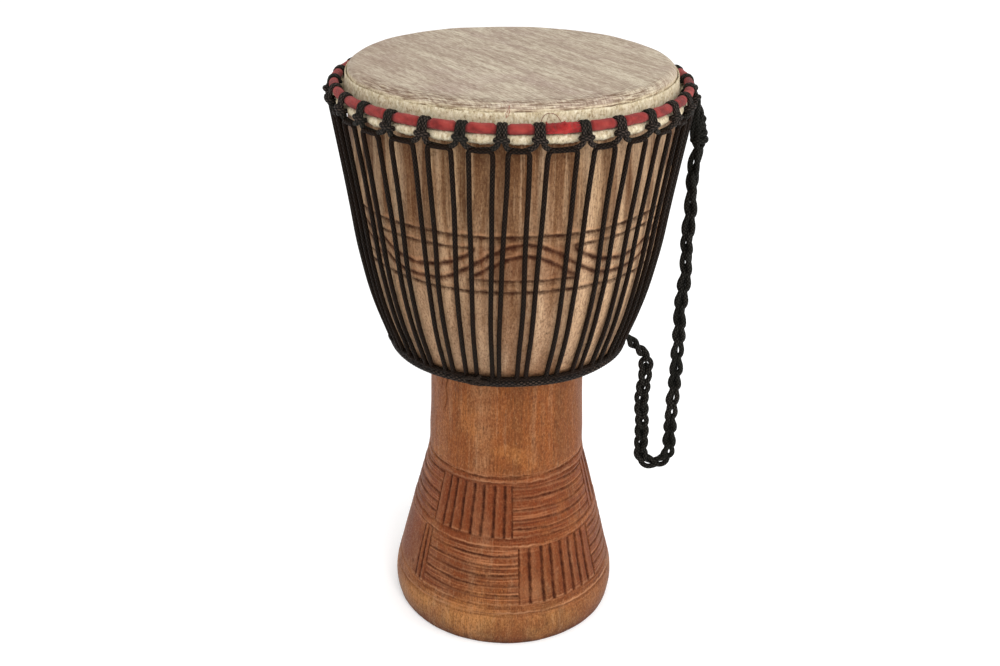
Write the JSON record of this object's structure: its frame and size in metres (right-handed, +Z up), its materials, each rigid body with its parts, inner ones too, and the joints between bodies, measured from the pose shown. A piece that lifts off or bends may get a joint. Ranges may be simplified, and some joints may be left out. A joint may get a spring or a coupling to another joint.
{
  "type": "djembe",
  "caption": "Rope-tuned goblet hand drum with a carved one-piece wooden shell, stretched skin head, cloth-wrapped top ring and a plaited carrying strap.",
  "frame": {"origin": "centre of the foot's lower face, on the floor", "axes": "+Z up along the drum's axis, -Y to the front, +X to the side where the strap hangs"},
  "size_m": [0.3729, 0.3576, 0.6],
  "materials": {
    "shell_wood": "oiled hardwood, darker reddish stain and burnt carving on the foot",
    "drum_skin": "shaved goat skin with streaks",
    "skin_edge": "rough dried skin edge",
    "ring_steel": "plain round steel rod",
    "wrap_cloth": "dull red cotton wrap",
    "tie_cloth": "bright red cotton strip",
    "cradle_rope": "black braided polyester rope",
    "tension_rope": "black braided polyester rope",
    "belt_rope": "black braided polyester rope, wrapped",
    "strap_rope": "black rope plaited in a chain"
  },
  "bodies": {
    "drum": {"shell": "shell_wood", "drum_skin": "drum_skin", "tension_rope": "tension_rope", "bottom_ring": "ring_steel", "belt_rope": "belt_rope", "bottom_cradle": "cradle_rope", "belt_tie_off": "belt_rope"},
    "crown": {"skin_tuck": "skin_edge", "flesh_ring": "ring_steel", "crown_ring": "ring_steel", "crown_cloth": "wrap_cloth", "cloth_tie": "tie_cloth", "crown_cradle": "cradle_rope"},
    "strap_loop": {"strap": "strap_rope", "strap_lower_knot": "strap_rope", "strap_top_knot": "strap_rope"}
  },
  "joints": [
    {"name": "crown_tuning", "type": "slide", "parent": "drum", "child": "crown", "axis": [0, 0, -1], "range_m": [0, 0.006], "deforming": ["tension_rope"]},
    {"name": "strap_swing", "type": "hinge", "parent": "drum", "child": "strap_loop", "pos_m": [0.1265, 0, 0.3135], "axis": [0.2091, 0, 0.9779], "range_deg": [-55, 55]}
  ]
}
